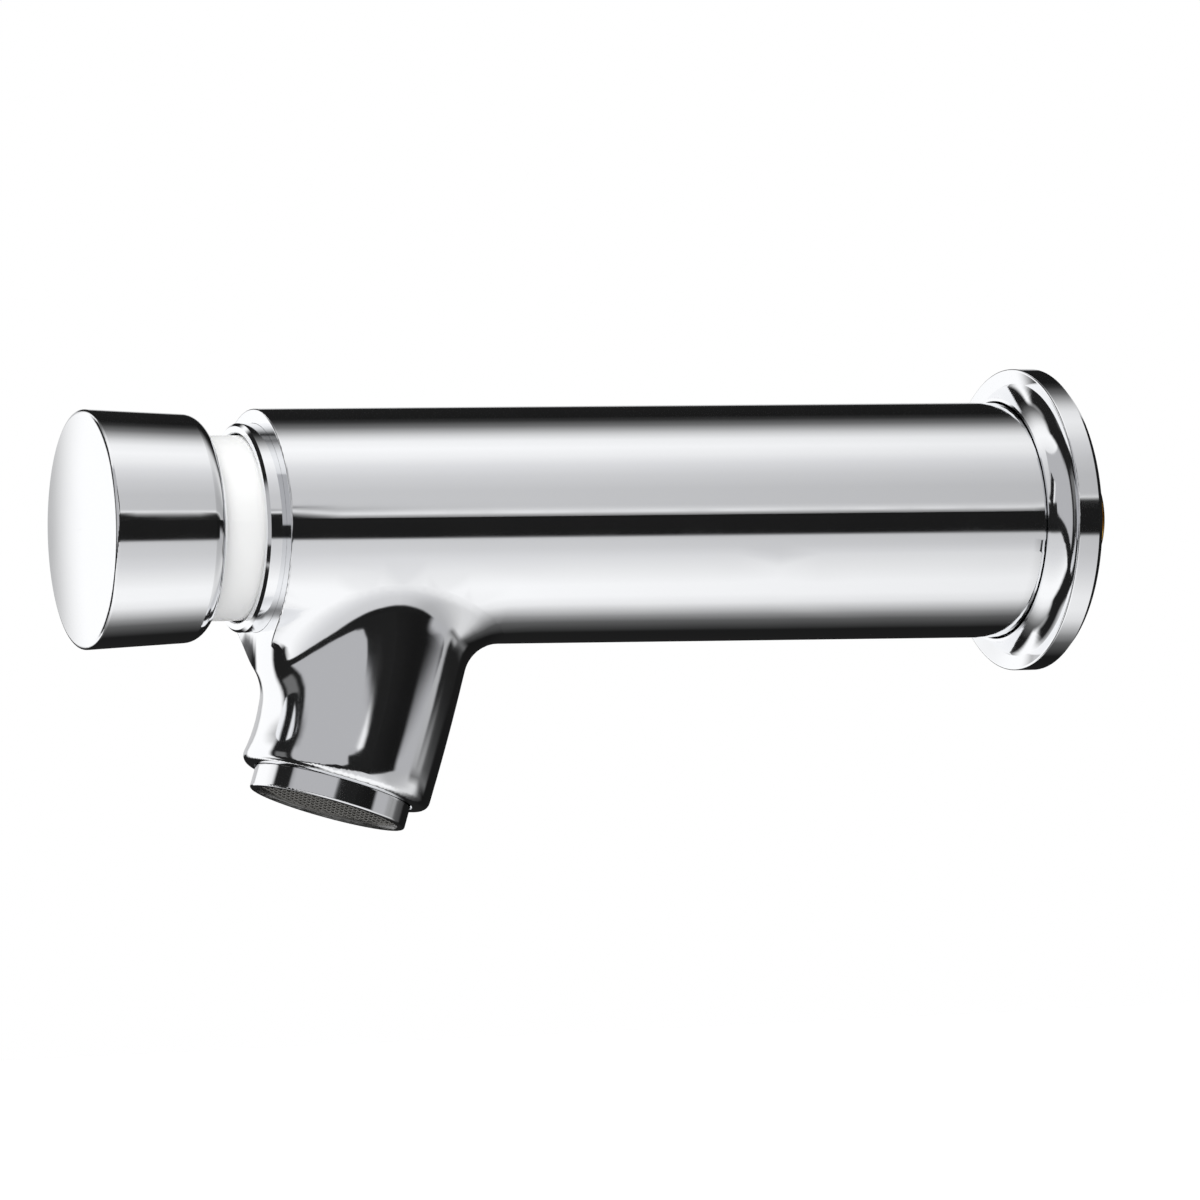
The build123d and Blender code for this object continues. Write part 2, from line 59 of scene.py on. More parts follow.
# %% Camera where the photographer stood
TURN, HEIGHT, ROLL = map(math.radians, (22.2, -3.0, 2.16))
DISTANCE = 0.95                          # metres from the camera to the point it looks at
MIDDLE = Vector((0, -0.0852, -0.0132))   # that point, in the middle of the picture
PICTURE_WIDTH = 0.20848                  # metres that the picture spans there

to_camera = Vector((math.cos(TURN) * math.cos(HEIGHT), -math.sin(TURN) * math.cos(HEIGHT),
                    math.sin(HEIGHT)))
right = (-to_camera).cross(Vector((0, 0, 1))).normalized()
up = right.cross(-to_camera)
rolled_right = right * math.cos(ROLL) - up * math.sin(ROLL)
rolled_up = right * math.sin(ROLL) + up * math.cos(ROLL)

camera_data = bpy.data.cameras.new("camera")
camera = bpy.data.objects.new("camera", camera_data)
scene.collection.objects.link(camera)
camera.matrix_world = Matrix.Translation(MIDDLE + to_camera * DISTANCE) @ Matrix(
    (rolled_right, rolled_up, to_camera)).transposed().to_4x4()
camera_data.lens = camera_data.sensor_width * DISTANCE / PICTURE_WIDTH
camera_data.clip_start = 0.05
scene.camera = camera
print("lens", round(camera_data.lens), "mm on a 36 mm sensor")

# %% [markdown]
# ## Helpers for materials
# Colours are written as the hex values of a colour picker, which are sRGB, while shaders count in
# linear light, so one function turns the one into the other. Another adds a node, sets its
# settings and plugs in its inputs, so that each finish below reads as a short list. Three small
# ones start a material, turn a pattern's real size into a noise scale, and put a material on CAD
# pieces. Noise seldom leaves the range from 0.3 to 0.7, so where a metal's roughness follows it,
# that range is stretched over the values wanted.

# %% Colours, nodes and materials
NOISE_LOW, NOISE_HIGH = 0.3, 0.7


def linear(hex_colour):
    """An sRGB hex colour as four linear numbers."""
    parts = [int(hex_colour[i:i + 2], 16) / 255 for i in (1, 3, 5)]
    return [p / 12.92 if p <= 0.04045 else ((p + 0.055) / 1.055) ** 2.4 for p in parts] + [1.0]


def add(tree, kind, inputs=None, **settings):
    """Adds a node. Inputs are values, or output sockets to link from."""
    node = tree.nodes.new(kind)
    for name, value in settings.items():
        setattr(node, name, value)
    for key, value in (inputs or {}).items():
        if isinstance(value, bpy.types.NodeSocket):
            tree.links.new(value, node.inputs[key])
        else:
            node.inputs[key].default_value = value
    return node


def finish(name):
    """A new material with its tree, its Principled shader and the piece's own coordinates."""
    material = bpy.data.materials.new(name)
    material.use_nodes = True
    shader = material.node_tree.nodes["Principled BSDF"]
    place = add(material.node_tree, "ShaderNodeTexCoord").outputs["Object"]
    return material, material.node_tree, shader, place


def per_metre(millimetres):
    """Noise scale for a pattern whose grains are this many millimetres across."""
    return 1000 / millimetres


def dress(material, *names):
    """Gives a CAD piece its finish, in the slots that it came with."""
    for name in names:
        slots = nodes[name].material_slots
        for slot in slots:
            slot.material = material
        if not slots:
            nodes[name].data.materials.append(material)
    print(material.name, "on", ", ".join(names))

# %% [markdown]
# ## Nickel and chrome plate
# The barrel, spout, flange, nut, button and outlet ring are brass, polished on buffing wheels and
# plated with nickel and a thin skin of chromium. Chrome is a mirror: it has almost no colour or
# texture of its own. What tells it from glass or plastic is the slight waviness that hand
# polishing leaves, a few hundredths of a millimetre over some centimetres, and a breath of haze
# that changes from place to place. The waviness is a bump from slow noise, the haze is noise in
# the roughness.

# %% Polished chrome plate
POLISH_WAVE = 38.0       # millimetres between the polisher's waves
POLISH_DEPTH = 0.00006   # metres, from the top of a wave to its bottom
HAZE_PATCH = 9.0         # millimetres across one patch of haze

chrome, tree, shader, place = finish("nickel_chrome_plate_buffed")
shader.inputs["Base Color"].default_value = linear("#EFF0F2")
shader.inputs["Metallic"].default_value = 1.0
haze = add(tree, "ShaderNodeTexNoise", {"Vector": place, "Scale": per_metre(HAZE_PATCH),
                                        "Detail": 4.0})
rough = add(tree, "ShaderNodeMapRange", {"Value": haze.outputs["Fac"], "From Min": NOISE_LOW,
                                         "From Max": NOISE_HIGH, "To Min": 0.05,
                                         "To Max": 0.085})
wave = add(tree, "ShaderNodeTexNoise", {"Vector": place, "Scale": per_metre(POLISH_WAVE),
                                        "Detail": 0.0})
bump = add(tree, "ShaderNodeBump", {"Height": wave.outputs["Fac"], "Distance": POLISH_DEPTH})
tree.links.new(rough.outputs["Result"], shader.inputs["Roughness"])
tree.links.new(bump.outputs["Normal"], shader.inputs["Normal"])
dress(chrome, "tap_body", "wall_flange", "cartridge_nut", "push_button", "aerator_ring")

# %% [markdown]
# ## The spout, rounded by the buffing wheel
# Where the spout grows out of the barrel and where it ends, the polisher's wheel rounds the casting
# by a millimetre or two, so that reflections bend over it without a step. In CAD the blend is a
# patch of small flat triangles, and chrome shows every change of direction between them. Moving
# their corners would change the CAD shape. So a copy of the body keeps all its points, and only
# the directions that it is shaded with change. Each becomes the average of the faces round it that
# look roughly the same way, and near ones count most, along a bell curve. The barrel is even
# already, so little changes there.

# %% Faces of the spout, ready to be searched
WHEEL_REACH = 0.002      # metres, the width of the bell curve
BELL_END = 2.5           # reaches after which a face counts for too little
START_R = 0.02           # distance from the axis where averaging starts, just under the skin
BLEND_IN = 0.0015        # it has its full share this much further out
SAME_WAY = 0.5           # cosine of the angle within which faces count as one surface
SPOUT_BELOW = -0.01      # z under which the body is spout, blend or the barrel's underside

body_mesh = nodes["tap_body"].data.copy()
body_mesh.name = "tap_body_buffed"
low_faces = [face for face in body_mesh.polygons if face.center.z < SPOUT_BELOW]
nearby = KDTree(len(low_faces))
for number, face in enumerate(low_faces):
    nearby.insert(face.center, number)
nearby.balance()
print(len(low_faces), "faces to average over")

# %% Body with an evenly shaded spout
def buffed(place, normal):
    """The direction at a place, averaged over the faces round it."""
    share = min(1, max(0, (math.hypot(place.x, place.z) - START_R) / BLEND_IN))
    total = Vector()
    if share > 0:
        for _, number, distance in nearby.find_range(place, WHEEL_REACH * BELL_END):
            face = low_faces[number]
            if face.normal.dot(normal) > SAME_WAY:
                nearness = math.exp(-(distance / WHEEL_REACH) ** 2 / 2)
                total += face.normal * face.area * nearness
    return normal.lerp(total.normalized(), share).normalized()


# A point that several faces share is worked out once for each direction it had
found = {}
directions = []
for loop, corner in zip(body_mesh.loops, body_mesh.corner_normals):
    key = (loop.vertex_index, tuple(round(c, 3) for c in corner.vector))
    if key not in found:
        found[key] = buffed(body_mesh.vertices[loop.vertex_index].co, corner.vector)
    directions.append(found[key])
body_mesh.normals_split_custom_set(directions)
body = bpy.data.objects.new("tap_body_buffed", body_mesh)
scene.collection.objects.link(body)
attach(body, "tap")
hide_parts("tap_body")
print(len(found), "directions looked at")

# %% [markdown]
# ## Moulded acetal
# The neck between the button and the nut is the front of the cartridge, moulded in white acetal.
# Acetal is waxy and slightly translucent, with a satin skin from the mould. A little light
# scatters under the surface, and very fine grain breaks the gloss. The pieces further in are
# moulded from the same plastic in dark grey, which lets no light in.

# %% Moulded acetal, white and dark grey
MOULD_GRAIN = 0.25       # millimetres
GRAIN_DEPTH = 0.000004   # metres
TINT_PATCH = 14.0        # millimetres over which the colour drifts


def acetal(name, low, high, scatter):
    """Moulded acetal whose colour drifts a little between two hex values."""
    material, tree, shader, place = finish(name)
    cloud = add(tree, "ShaderNodeTexNoise", {"Vector": place, "Scale": per_metre(TINT_PATCH)})
    tint = add(tree, "ShaderNodeMix", {"Factor": cloud.outputs["Fac"]}, data_type="RGBA")
    tint.inputs["A"].default_value = linear(low)
    tint.inputs["B"].default_value = linear(high)
    grain = add(tree, "ShaderNodeTexNoise", {"Vector": place, "Scale": per_metre(MOULD_GRAIN),
                                             "Detail": 2.0})
    rough = add(tree, "ShaderNodeMapRange", {"Value": grain.outputs["Fac"], "To Min": 0.3,
                                             "To Max": 0.45})
    bump = add(tree, "ShaderNodeBump", {"Height": grain.outputs["Fac"], "Distance": GRAIN_DEPTH})
    tree.links.new(tint.outputs["Result"], shader.inputs["Base Color"])
    tree.links.new(rough.outputs["Result"], shader.inputs["Roughness"])
    tree.links.new(bump.outputs["Normal"], shader.inputs["Normal"])
    shader.inputs["IOR"].default_value = 1.48
    shader.inputs["Subsurface Weight"].default_value = scatter
    shader.inputs["Subsurface Radius"].default_value = (0.0012, 0.0012, 0.0011)
    return material


white_acetal = acetal("white_acetal_moulded", "#F6F6F4", "#FAFAF9", 0.15)
grey_acetal = acetal("dark_grey_acetal_moulded", "#37393B", "#3F4143", 0.0)
dress(white_acetal, "cartridge_head")
dress(grey_acetal, "cartridge_body", "rod_bush", "timing_piston", "aerator_insert")

# %% [markdown]
# ## Turned brass and drawn steel
# The inlet nipple and the small valve pieces are turned on a lathe from brass bar and left bare.
# A lathe tool leaves fine rings about a tenth of a millimetre apart. They are too fine to see
# from here, so they are drawn 0.4 mm apart: rings round the barrel's axis are bands along Y. The
# rod, the spring and the clips are bright drawn stainless steel, with faint streaks along Y. The
# outlet's wire cloth is stainless steel too, but dull and dark from the water, with no streaks.

# %% Brass and stainless steel
MARK_SPACING = 0.4       # millimetres between tool marks
MARK_DEPTH = 0.00001     # metres
STAIN_PATCH = 5.0        # millimetres


def tooled_metal(name, low, high, rough_low, rough_high, stretch):
    """Bare metal with tool marks. Stretch is the marks' fineness along X, Y and Z."""
    material, tree, shader, place = finish(name)
    squeeze = add(tree, "ShaderNodeMapping", {"Vector": place})
    squeeze.inputs["Scale"].default_value = stretch
    marks = add(tree, "ShaderNodeTexNoise", {"Vector": squeeze.outputs["Vector"],
                                             "Scale": per_metre(MARK_SPACING), "Detail": 3.0})
    stain = add(tree, "ShaderNodeTexNoise", {"Vector": place, "Scale": per_metre(STAIN_PATCH),
                                             "Detail": 3.0})
    tint = add(tree, "ShaderNodeMix", {"Factor": stain.outputs["Fac"]}, data_type="RGBA")
    tint.inputs["A"].default_value = linear(low)
    tint.inputs["B"].default_value = linear(high)
    rough = add(tree, "ShaderNodeMapRange", {"Value": marks.outputs["Fac"], "From Min": NOISE_LOW,
                                             "From Max": NOISE_HIGH, "To Min": rough_low,
                                             "To Max": rough_high})
    bump = add(tree, "ShaderNodeBump", {"Height": marks.outputs["Fac"], "Distance": MARK_DEPTH})
    tree.links.new(tint.outputs["Result"], shader.inputs["Base Color"])
    tree.links.new(rough.outputs["Result"], shader.inputs["Roughness"])
    tree.links.new(bump.outputs["Normal"], shader.inputs["Normal"])
    shader.inputs["Metallic"].default_value = 1.0
    return material


brass = tooled_metal("bare_brass_turned", "#C79B4C", "#D9B365", 0.18, 0.34, (0.03, 1.0, 0.03))
steel = tooled_metal("stainless_steel_drawn", "#B9B8B4", "#CBCAC6", 0.12, 0.26, (1.0, 0.05, 1.0))
wire = tooled_metal("stainless_wire_cloth_dulled", "#62615E", "#787774", 0.35, 0.5,
                    (1.0, 1.0, 1.0))
dress(brass, "valve_seat", "valve_poppet", "valve_nut", "timing_jet")
dress(steel, "push_rod", "return_spring", "piston_clips", "strainer_clip", "inlet_strainer")

# %% [markdown]
# ## Black rubber
# Gasket, seals and washers are moulded EPDM rubber. It is matt, never quite black, and a bloom of
# paler dust lies on it in patches.

# %% EPDM rubber
BLOOM_PATCH = 3.0        # millimetres
PORE_SPACING = 0.3       # millimetres
PORE_DEPTH = 0.00002     # metres

rubber, tree, shader, place = finish("epdm_rubber_moulded")
bloom = add(tree, "ShaderNodeTexNoise", {"Vector": place, "Scale": per_metre(BLOOM_PATCH),
                                         "Detail": 5.0})
tint = add(tree, "ShaderNodeMix", {"Factor": bloom.outputs["Fac"]}, data_type="RGBA")
tint.inputs["A"].default_value = linear("#1D1D1E")
tint.inputs["B"].default_value = linear("#2E2E2F")
pores = add(tree, "ShaderNodeTexNoise", {"Vector": place, "Scale": per_metre(PORE_SPACING),
                                         "Detail": 2.0})
rough = add(tree, "ShaderNodeMapRange", {"Value": bloom.outputs["Fac"], "To Min": 0.6,
                                         "To Max": 0.85})
bump = add(tree, "ShaderNodeBump", {"Height": pores.outputs["Fac"], "Distance": PORE_DEPTH})
tree.links.new(tint.outputs["Result"], shader.inputs["Base Color"])
tree.links.new(rough.outputs["Result"], shader.inputs["Roughness"])
tree.links.new(bump.outputs["Normal"], shader.inputs["Normal"])
dress(rubber, "flange_seal", "flange_gasket", "nipple_seal", "head_seal", "rod_seal",
      "body_seal", "piston_seal", "valve_washer", "aerator_washer")

# %% [markdown]
# ## The inlet's screw thread
# The nipple ends in a G 1/2 parallel pipe thread: 14 turns to the inch, so 1.814 mm from crest to
# crest, and 1.162 mm deep, with rounded crests and roots. A bump would leave the outline straight,
# and from the side the teeth show there, so the thread is real mesh. The CAD piece has a plain
# cylinder of the thread's outer size. A copy of it loses that cylinder and gets a grid instead,
# wrapped round the axis, whose radius rises and falls along a helix.

# %% Sizes of the thread
THREAD_PITCH = 0.0254 / 14   # metres, like every length here
THREAD_DEPTH = 0.001162
THREAD_START = 0.009     # y of the nipple's free end
THREAD_STOP = -0.0005    # y where the collar begins
CREST_R = 0.0104775      # half of the thread's 20.955 mm
END_CHAMFER = 0.0012
ROWS_PER_TURN = 12
WELD = 1e-6              # points closer than this are one
CLEAR = 1e-5             # slack for telling which faces belong to the thread


def thread_radius(turn, y):
    """Radius of the thread at a share of a turn round the axis and a place along it."""
    wave = abs(((y / THREAD_PITCH + turn) % 1) * 2 - 1)
    tooth = wave * wave * (3 - 2 * wave)   # rounds the crests and roots
    run_out = min(1, max(0, (y - THREAD_STOP) / THREAD_PITCH))
    cone = CREST_R - END_CHAMFER + max(0, THREAD_START - y)
    return min(cone, CREST_R - THREAD_DEPTH * (1 - tooth) * run_out)

# %% Nipple with its thread
shape = bmesh.new()
shape.from_mesh(nodes["inlet_nipple"].data)
bmesh.ops.remove_doubles(shape, verts=shape.verts, dist=WELD)


def on_thread(face):
    """True for a face of the plain cylinder or of the chamfer at its end."""
    middle = face.calc_center_median()
    outside = math.hypot(middle.x, middle.z) > CREST_R - END_CHAMFER - CLEAR
    return outside and THREAD_STOP + CLEAR < middle.y < THREAD_START - CLEAR


bmesh.ops.delete(shape, geom=[f for f in shape.faces if on_thread(f)], context="FACES")
edge = [v for v in shape.verts if v.is_boundary and v.co.y < 0]
edge.sort(key=lambda v: math.atan2(v.co.z, v.co.x))
rows = round((THREAD_START - THREAD_STOP) / THREAD_PITCH * ROWS_PER_TURN)
before = edge
for row in range(1, rows + 1):
    y = THREAD_STOP + (THREAD_START - THREAD_STOP) * row / rows
    ring = []
    for corner in edge:
        angle = math.atan2(corner.co.z, corner.co.x)
        radius = thread_radius(angle / math.tau, y)
        ring.append(shape.verts.new((radius * math.cos(angle), y, radius * math.sin(angle))))
    for i in range(len(ring)):
        shape.faces.new((before[i - 1], before[i], ring[i], ring[i - 1]))
    before = ring
bmesh.ops.recalc_face_normals(shape, faces=shape.faces)
threaded_mesh = bpy.data.meshes.new("inlet_nipple_threaded")
shape.to_mesh(threaded_mesh)
shape.free()
threaded_mesh.shade_smooth()
threaded_mesh.set_sharp_from_angle(angle=math.radians(35))
threaded = bpy.data.objects.new("inlet_nipple_threaded", threaded_mesh)
scene.collection.objects.link(threaded)
threaded_mesh.materials.append(brass)
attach(threaded, "tap")
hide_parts("inlet_nipple")
print("thread of", len(edge), "columns and", rows, "rows")

# %% [markdown]
# ## The woven screen in the outlet
# Water leaves through stainless wire cloth, held in a pressed ring. In a plain weave each wire
# passes over and under its neighbours in turn. The real wires lie about 0.5 mm apart, which would
# only flicker at this size, so they are drawn a little over twice as coarse. A texture with holes
# would look flat from close by, so every wire is a thin tube that follows a wave.

# %% Where the outlet points
OUTLET_TILT = math.radians(18.4)   # the spout leans forward by this from straight down
outward = Vector((0, -math.sin(OUTLET_TILT), -math.cos(OUTLET_TILT)))
across = Vector((1, 0, 0))
along = outward.cross(across)
points = [v.co for v in nodes["aerator_screen"].data.vertices]
reaches = [p.dot(outward) for p in points]
centre = sum(points, Vector()) / len(points)
centre += outward * (max(reaches) - centre.dot(outward))
screen_r = max((p - centre - outward * (p - centre).dot(outward)).length for p in points)
print("screen of", round(screen_r * 2000, 1), "mm across")

# %% Tubes for wires
def tube(shape, path, side, radius, sides=6):
    """Adds a tube along a path. Side lies in the cloth and is square to the path."""
    before = None
    for point in path:
        ring = []
        for number in range(sides):
            angle = math.tau * number / sides
            offset = side * math.cos(angle) + outward * math.sin(angle)
            ring.append(shape.verts.new(point + offset * radius))
        if before:
            for i in range(sides):
                shape.faces.new((before[i - 1], before[i], ring[i], ring[i - 1]))
        before = ring

# %% Weave the cloth
WIRE_GAP = 0.00115       # from one wire to the next
WIRE_R = 0.0002
CLOTH_DEPTH = 2.4        # wire radii from the ring's outer face to the cloth's middle
STEPS_PER_GAP = 3
FRAME_WIDTH = 0.0009
FRAME_HEIGHT = 0.0014

cloth = bmesh.new()
cloth_middle = centre - outward * WIRE_R * CLOTH_DEPTH
count = int(screen_r / WIRE_GAP)
for run, side in ((across, along), (along, across)):
    for number in range(-count, count + 1):
        offset = number * WIRE_GAP
        half = math.sqrt(max(0, (screen_r - FRAME_WIDTH / 2) ** 2 - offset ** 2))
        steps = max(2, round(half * 2 / WIRE_GAP * STEPS_PER_GAP))
        path = []
        for step in range(steps + 1):
            travel = half * (2 * step / steps - 1)
            lift = math.cos(math.pi * (travel / WIRE_GAP + number)) * WIRE_R
            if run == along:
                lift = -lift
            path.append(cloth_middle + side * offset + run * travel + outward * lift)
        tube(cloth, path, side, WIRE_R)
print("cloth of", (count * 2 + 1) * 2, "wires")

# %% Pressed ring round the cloth
RING_STEPS = 96
LIP = 0.0002             # the bevel along the ring's outer edges
profile = [(screen_r, -FRAME_HEIGHT), (screen_r, -LIP), (screen_r - LIP, 0),
           (screen_r - FRAME_WIDTH + LIP, 0), (screen_r - FRAME_WIDTH, -LIP),
           (screen_r - FRAME_WIDTH, -FRAME_HEIGHT)]
rings = []
for step in range(RING_STEPS):
    angle = math.tau * step / RING_STEPS
    spoke = across * math.cos(angle) + along * math.sin(angle)
    rings.append([cloth.verts.new(centre + spoke * r + outward * out) for r, out in profile])
for step in range(RING_STEPS):
    for corner in range(len(profile)):
        cloth.faces.new((rings[step - 1][corner - 1], rings[step - 1][corner],
                         rings[step][corner], rings[step][corner - 1]))
bmesh.ops.recalc_face_normals(cloth, faces=cloth.faces)
screen_mesh = bpy.data.meshes.new("aerator_screen_woven")
cloth.to_mesh(screen_mesh)
cloth.free()
screen_mesh.shade_smooth()
screen_mesh.set_sharp_from_angle(angle=math.radians(50))
screen = bpy.data.objects.new("aerator_screen_woven", screen_mesh)
scene.collection.objects.link(screen)
screen_mesh.materials.append(wire)
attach(screen, "tap")
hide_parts("aerator_screen")
print("screen of", len(screen_mesh.polygons), "faces")

# %% [markdown]
# ## The studio in the world
# Chrome shows its surroundings, so the studio is as much of the picture as the tap. It could be
# built from cards and lamps, but a world that paints it by direction mirrors the same and has no
# noise. The world is painted in two layers.
#
# A round bar squeezes everything round it into straight bands, so the first layer follows the
# angle round the barrel's axis. From the camera upwards the chrome mirrors a black flag at eye
# height, a thin bright gap, a grey wall that brightens into a white soft box overhead, and
# darkness behind the tap. Downwards it mirrors a pale table, a second soft box and darkness.
#
# The spout, the button's face and the outlet's ring look other ways. The second layer is a map of
# cards for them: a grey wall with a dark foot, which the spout mirrors like a window, a white wall
# before the button, and the darks that stand between them.

# %% Directions of the studio
# A ray's angle round the barrel's axis, and its height angle
world = bpy.data.worlds.new("studio")
scene.world = world
world.use_nodes = True
sky = world.node_tree
sky.nodes.clear()
ray = add(sky, "ShaderNodeTexCoord").outputs["Generated"]
parts = add(sky, "ShaderNodeSeparateXYZ", {"Vector": ray})
around = add(sky, "ShaderNodeMath", {0: parts.outputs["Z"], 1: parts.outputs["X"]},
             operation="ARCTAN2")
around_share = add(sky, "ShaderNodeMapRange", {"Value": around.outputs[0], "From Min": -math.pi,
                                               "From Max": math.pi})
height = add(sky, "ShaderNodeMath", {0: parts.outputs["Z"]}, operation="ARCSINE")

# %% Brightness round the barrel's axis
# Degrees above the camera's side, and the grey seen there
ROUND_THE_AXIS = [
    (-180, "#1F1F1F"), (-134, "#1C1C1C"), (-124, "#424242"), (-114, "#5C5C5C"),
    (-105, "#919191"), (-96, "#C7C7C7"), (-88, "#EBEBEB"), (-78, "#F9F9F9"),
    (-66, "#F9F9F9"), (-54, "#EBEBEB"), (-42, "#DBDBDC"), (-30, "#CFCFD0"),
    (-17, "#C9C9CA"), (-15, "#1C1C1C"), (11, "#1C1C1C"), (11.8, "#EBEBEB"),
    (13, "#EBEBEB"), (14.5, "#C4C4C5"), (30, "#C4C4C5"), (44, "#CFCFD0"),
    (56, "#DEDEDF"), (66, "#F0F0F0"), (76, "#F9F9F9"), (86, "#F1F1F1"), (93, "#D6D6D6"),
    (100, "#ABABAB"), (108, "#6E6E6E"), (118, "#333333"), (125, "#1A1A1A"), (180, "#1F1F1F"),
]
ramp = add(sky, "ShaderNodeValToRGB", {"Fac": around_share.outputs["Result"]})
stops = ramp.color_ramp.elements
while len(stops) < len(ROUND_THE_AXIS):
    stops.new(0.5)
for stop, (degrees, grey) in zip(stops, ROUND_THE_AXIS):
    stop.position = (degrees + 180) / 360
    stop.color = linear(grey)
# Rays that lean far towards the wall meet dimmer light
dimmer = add(sky, "ShaderNodeMapRange", {
    "Value": parts.outputs["Y"], "From Min": 0.3, "From Max": 0.62, "To Min": 1.03,
    "To Max": 0.72}, interpolation_type="SMOOTHSTEP")
studio_light = add(sky, "ShaderNodeVectorMath", {0: ramp.outputs["Color"],
                                                 "Scale": dimmer.outputs["Result"]},
                   operation="SCALE").outputs["Vector"]

# %% One card on the map of directions
def card(light_so_far, turn, lift, half_width, half_height, soft, grey, lean=0.0):
    """Paints a soft-edged rectangle, in degrees of turn from +X to +Y and of height."""
    toward = (math.cos(math.radians(turn)), math.sin(math.radians(turn)), 0)
    left = (-toward[1], toward[0], 0)
    ahead = add(sky, "ShaderNodeVectorMath", {0: ray, 1: toward}, operation="DOT_PRODUCT")
    beside = add(sky, "ShaderNodeVectorMath", {0: ray, 1: left}, operation="DOT_PRODUCT")
    wide = add(sky, "ShaderNodeMath", {0: beside.outputs["Value"], 1: ahead.outputs["Value"]},
               operation="ARCTAN2")
    high = add(sky, "ShaderNodeMath", {0: height.outputs[0], 1: math.radians(lift)},
               operation="SUBTRACT")
    flat = add(sky, "ShaderNodeCombineXYZ", {"X": wide.outputs[0], "Y": high.outputs[0]})
    leant = add(sky, "ShaderNodeVectorRotate", {"Vector": flat.outputs["Vector"],
                                                "Angle": math.radians(-lean)},
                rotation_type="Z_AXIS")
    size = add(sky, "ShaderNodeVectorMath", {0: leant.outputs["Vector"]}, operation="ABSOLUTE")
    size = add(sky, "ShaderNodeSeparateXYZ", {"Vector": size.outputs["Vector"]})
    masks = []
    for side, half in (("X", half_width), ("Y", half_height)):
        masks.append(add(sky, "ShaderNodeMapRange", {
            "Value": size.outputs[side], "From Min": math.radians(half - soft / 2),
            "From Max": math.radians(half + soft / 2), "To Min": 1.0, "To Max": 0.0,
        }, interpolation_type="SMOOTHSTEP"))
    mask = add(sky, "ShaderNodeMath", {0: masks[0].outputs["Result"],
                                       1: masks[1].outputs["Result"]}, operation="MULTIPLY")
    mix = add(sky, "ShaderNodeMix", {"Factor": mask.outputs[0], "A": light_so_far},
              data_type="RGBA")
    mix.inputs["B"].default_value = linear(grey)
    return mix.outputs["Result"]

# %% Cards that stand round the tap
# In degrees: turn, height, half width, half height and soft edge, then the colour, and then the
# lean where there is one. A later card covers an earlier one.
CARDS = [
    (-40.5, 22, 51.5, 28, 3, "#B2B2B4", 12),  # grey wall, seen as a window in the spout
    (4, 22, 7, 16, 3, "#1C1C1C", 39),         # black flag past the wall's slanted edge
    (-3, 17, 2.2, 15, 3, "#F7F7F7", 39),      # bright slit along that edge
    (-35, -10.5, 50, 5.5, 2, "#1F1F1F", 12),  # dark foot of the wall
    (3, 1.5, 14, 9, 2, "#1F1F1F"),            # flag between the foot and the camera
    (-140.5, 0, 27.5, 60, 12, "#FFFFFF"),     # white wall that the button's face mirrors
    (-96, 0, 15, 58, 5, "#1F1F1F"),           # dark gap between the two walls
    (-97, 7, 8, 10, 6, "#6B6B6B"),            # a grey post in the gap
    (-115, 44, 38, 17, 14, "#1F1F1F"),        # dark ceiling over the gap
    (-112, -44, 34, 16, 16, "#1F1F1F"),       # dark floor under it
    (60, -8, 12, 4.5, 7, "#B0B0B2"),          # grey card low on the right
    (98, 0, 18, 10, 6, "#1F1F1F"),            # dark edge of the wall
    (92, -14, 20, 3, 8, "#6B6B6B"),           # dim floor below it
    (165, 9, 26, 8, 4, "#C4C4C5"),            # pale window behind, for the other side
]
for values in CARDS:
    studio_light = card(studio_light, *values)
print("studio painted with", len(sky.nodes), "nodes")

# %% [markdown]
# ## One world for three kinds of ray
# Only glossy rays see the painted studio. The camera, also through anything clear, sees plain
# white, as behind a cut-out picture. Rays that light matt surfaces see an even pale grey, or the
# black flags would darken the neck.

# %% What each kind of ray sees
MIRRORED_STRENGTH = 1.12
MATT_STRENGTH = 0.62

path = add(sky, "ShaderNodeLightPath")
matt = add(sky, "ShaderNodeBackground", {"Strength": MATT_STRENGTH})
matt.inputs["Color"].default_value = linear("#F4F5F7")
mirror = add(sky, "ShaderNodeBackground", {"Color": studio_light,
                                           "Strength": MIRRORED_STRENGTH})
white = add(sky, "ShaderNodeBackground", {"Strength": 1.0})
white.inputs["Color"].default_value = linear("#FFFFFF")
through = add(sky, "ShaderNodeMath", {0: path.outputs["Is Camera Ray"],
                                      1: path.outputs["Is Transmission Ray"]}, operation="MAXIMUM")
lighting = add(sky, "ShaderNodeMixShader", {0: path.outputs["Is Glossy Ray"],
                                            1: matt.outputs["Background"],
                                            2: mirror.outputs["Background"]})
seen = add(sky, "ShaderNodeMixShader", {0: through.outputs[0], 1: lighting.outputs["Shader"],
                                        2: white.outputs["Background"]})
add(sky, "ShaderNodeOutputWorld", {"Surface": seen.outputs["Shader"]})

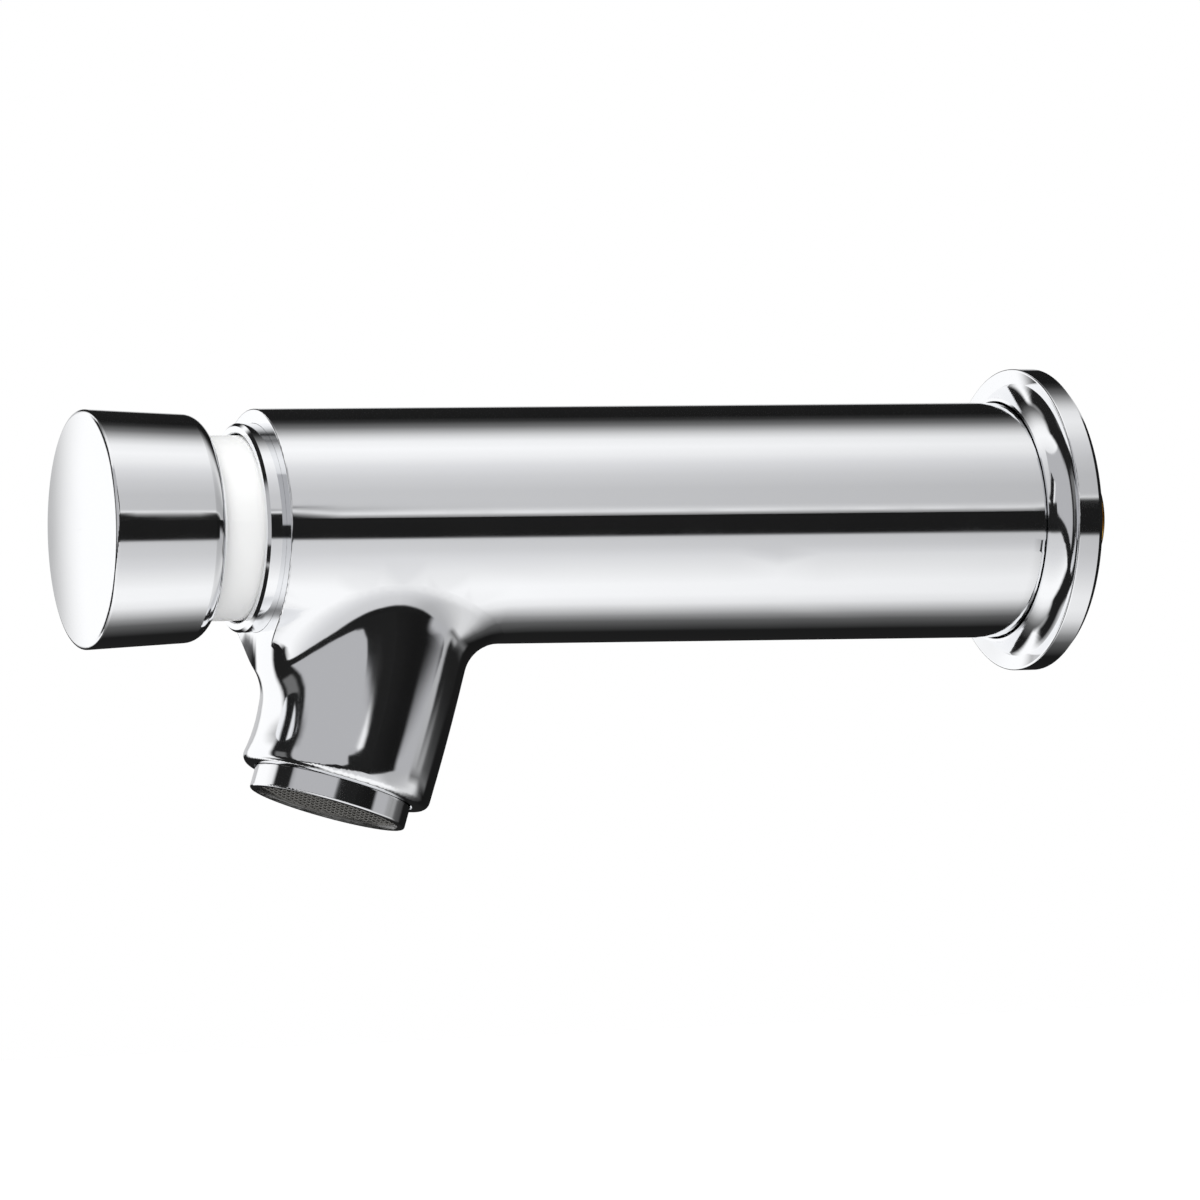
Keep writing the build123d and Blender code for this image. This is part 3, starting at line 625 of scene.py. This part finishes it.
# %% [markdown]
# ## Floor and lamps
# A pale floor lies well below the tap, as under a piece that hangs on a wall. It glows a little
# for the camera, so that it runs into the white behind. Two large soft lamps light the matt pieces
# and give the floor its faint shadow. The chrome doesn't mirror the floor or the lamps, because
# the world already paints all that it mirrors.

# %% Floor
FLOOR_LEVEL = -0.26
HALF_SIDE = 6.0
PAPER_GLOW = 0.62

floor_mesh = bpy.data.meshes.new("floor")
floor_mesh.from_pydata([(-HALF_SIDE, -HALF_SIDE, 0), (HALF_SIDE, -HALF_SIDE, 0),
                        (HALF_SIDE, HALF_SIDE, 0), (-HALF_SIDE, HALF_SIDE, 0)],
                       [], [(0, 1, 2, 3)])
floor = bpy.data.objects.new("floor", floor_mesh)
scene.collection.objects.link(floor)
floor.location.z = FLOOR_LEVEL
floor.visible_glossy = False

paper = bpy.data.materials.new("white_studio_paper")
paper.use_nodes = True
tree = paper.node_tree
shader = tree.nodes["Principled BSDF"]
shader.inputs["Base Color"].default_value = linear("#F2F2F2")
shader.inputs["Roughness"].default_value = 0.9
path = add(tree, "ShaderNodeLightPath")
glow = add(tree, "ShaderNodeMath", {0: path.outputs["Is Camera Ray"], 1: PAPER_GLOW},
           operation="MULTIPLY")
shader.inputs["Emission Color"].default_value = linear("#FFFFFF")
tree.links.new(glow.outputs[0], shader.inputs["Emission Strength"])
floor_mesh.materials.append(paper)

# %% Lamps
def soft_lamp(name, place, size, watts):
    """A square lamp that looks at the tap's middle."""
    data = bpy.data.lights.new(name, "AREA")
    data.shape = "SQUARE"
    data.size = size
    data.energy = watts
    lamp = bpy.data.objects.new(name, data)
    scene.collection.objects.link(lamp)
    lamp.location = place
    lamp.rotation_euler = (MIDDLE - Vector(place)).to_track_quat("-Z", "Y").to_euler()
    lamp.visible_glossy = False


soft_lamp("overhead_lamp", (0.4, -0.5, 1.6), 1.2, 14)
soft_lamp("front_lamp", (1.2, -0.9, 0.4), 0.9, 7)
print("two lamps and a floor at", FLOOR_LEVEL, "m")

# %% [markdown]
# ## The look
# The picture keeps Blender's standard view, so that a colour renders as it is written.

# %% Look
scene.view_settings.view_transform = "Standard"
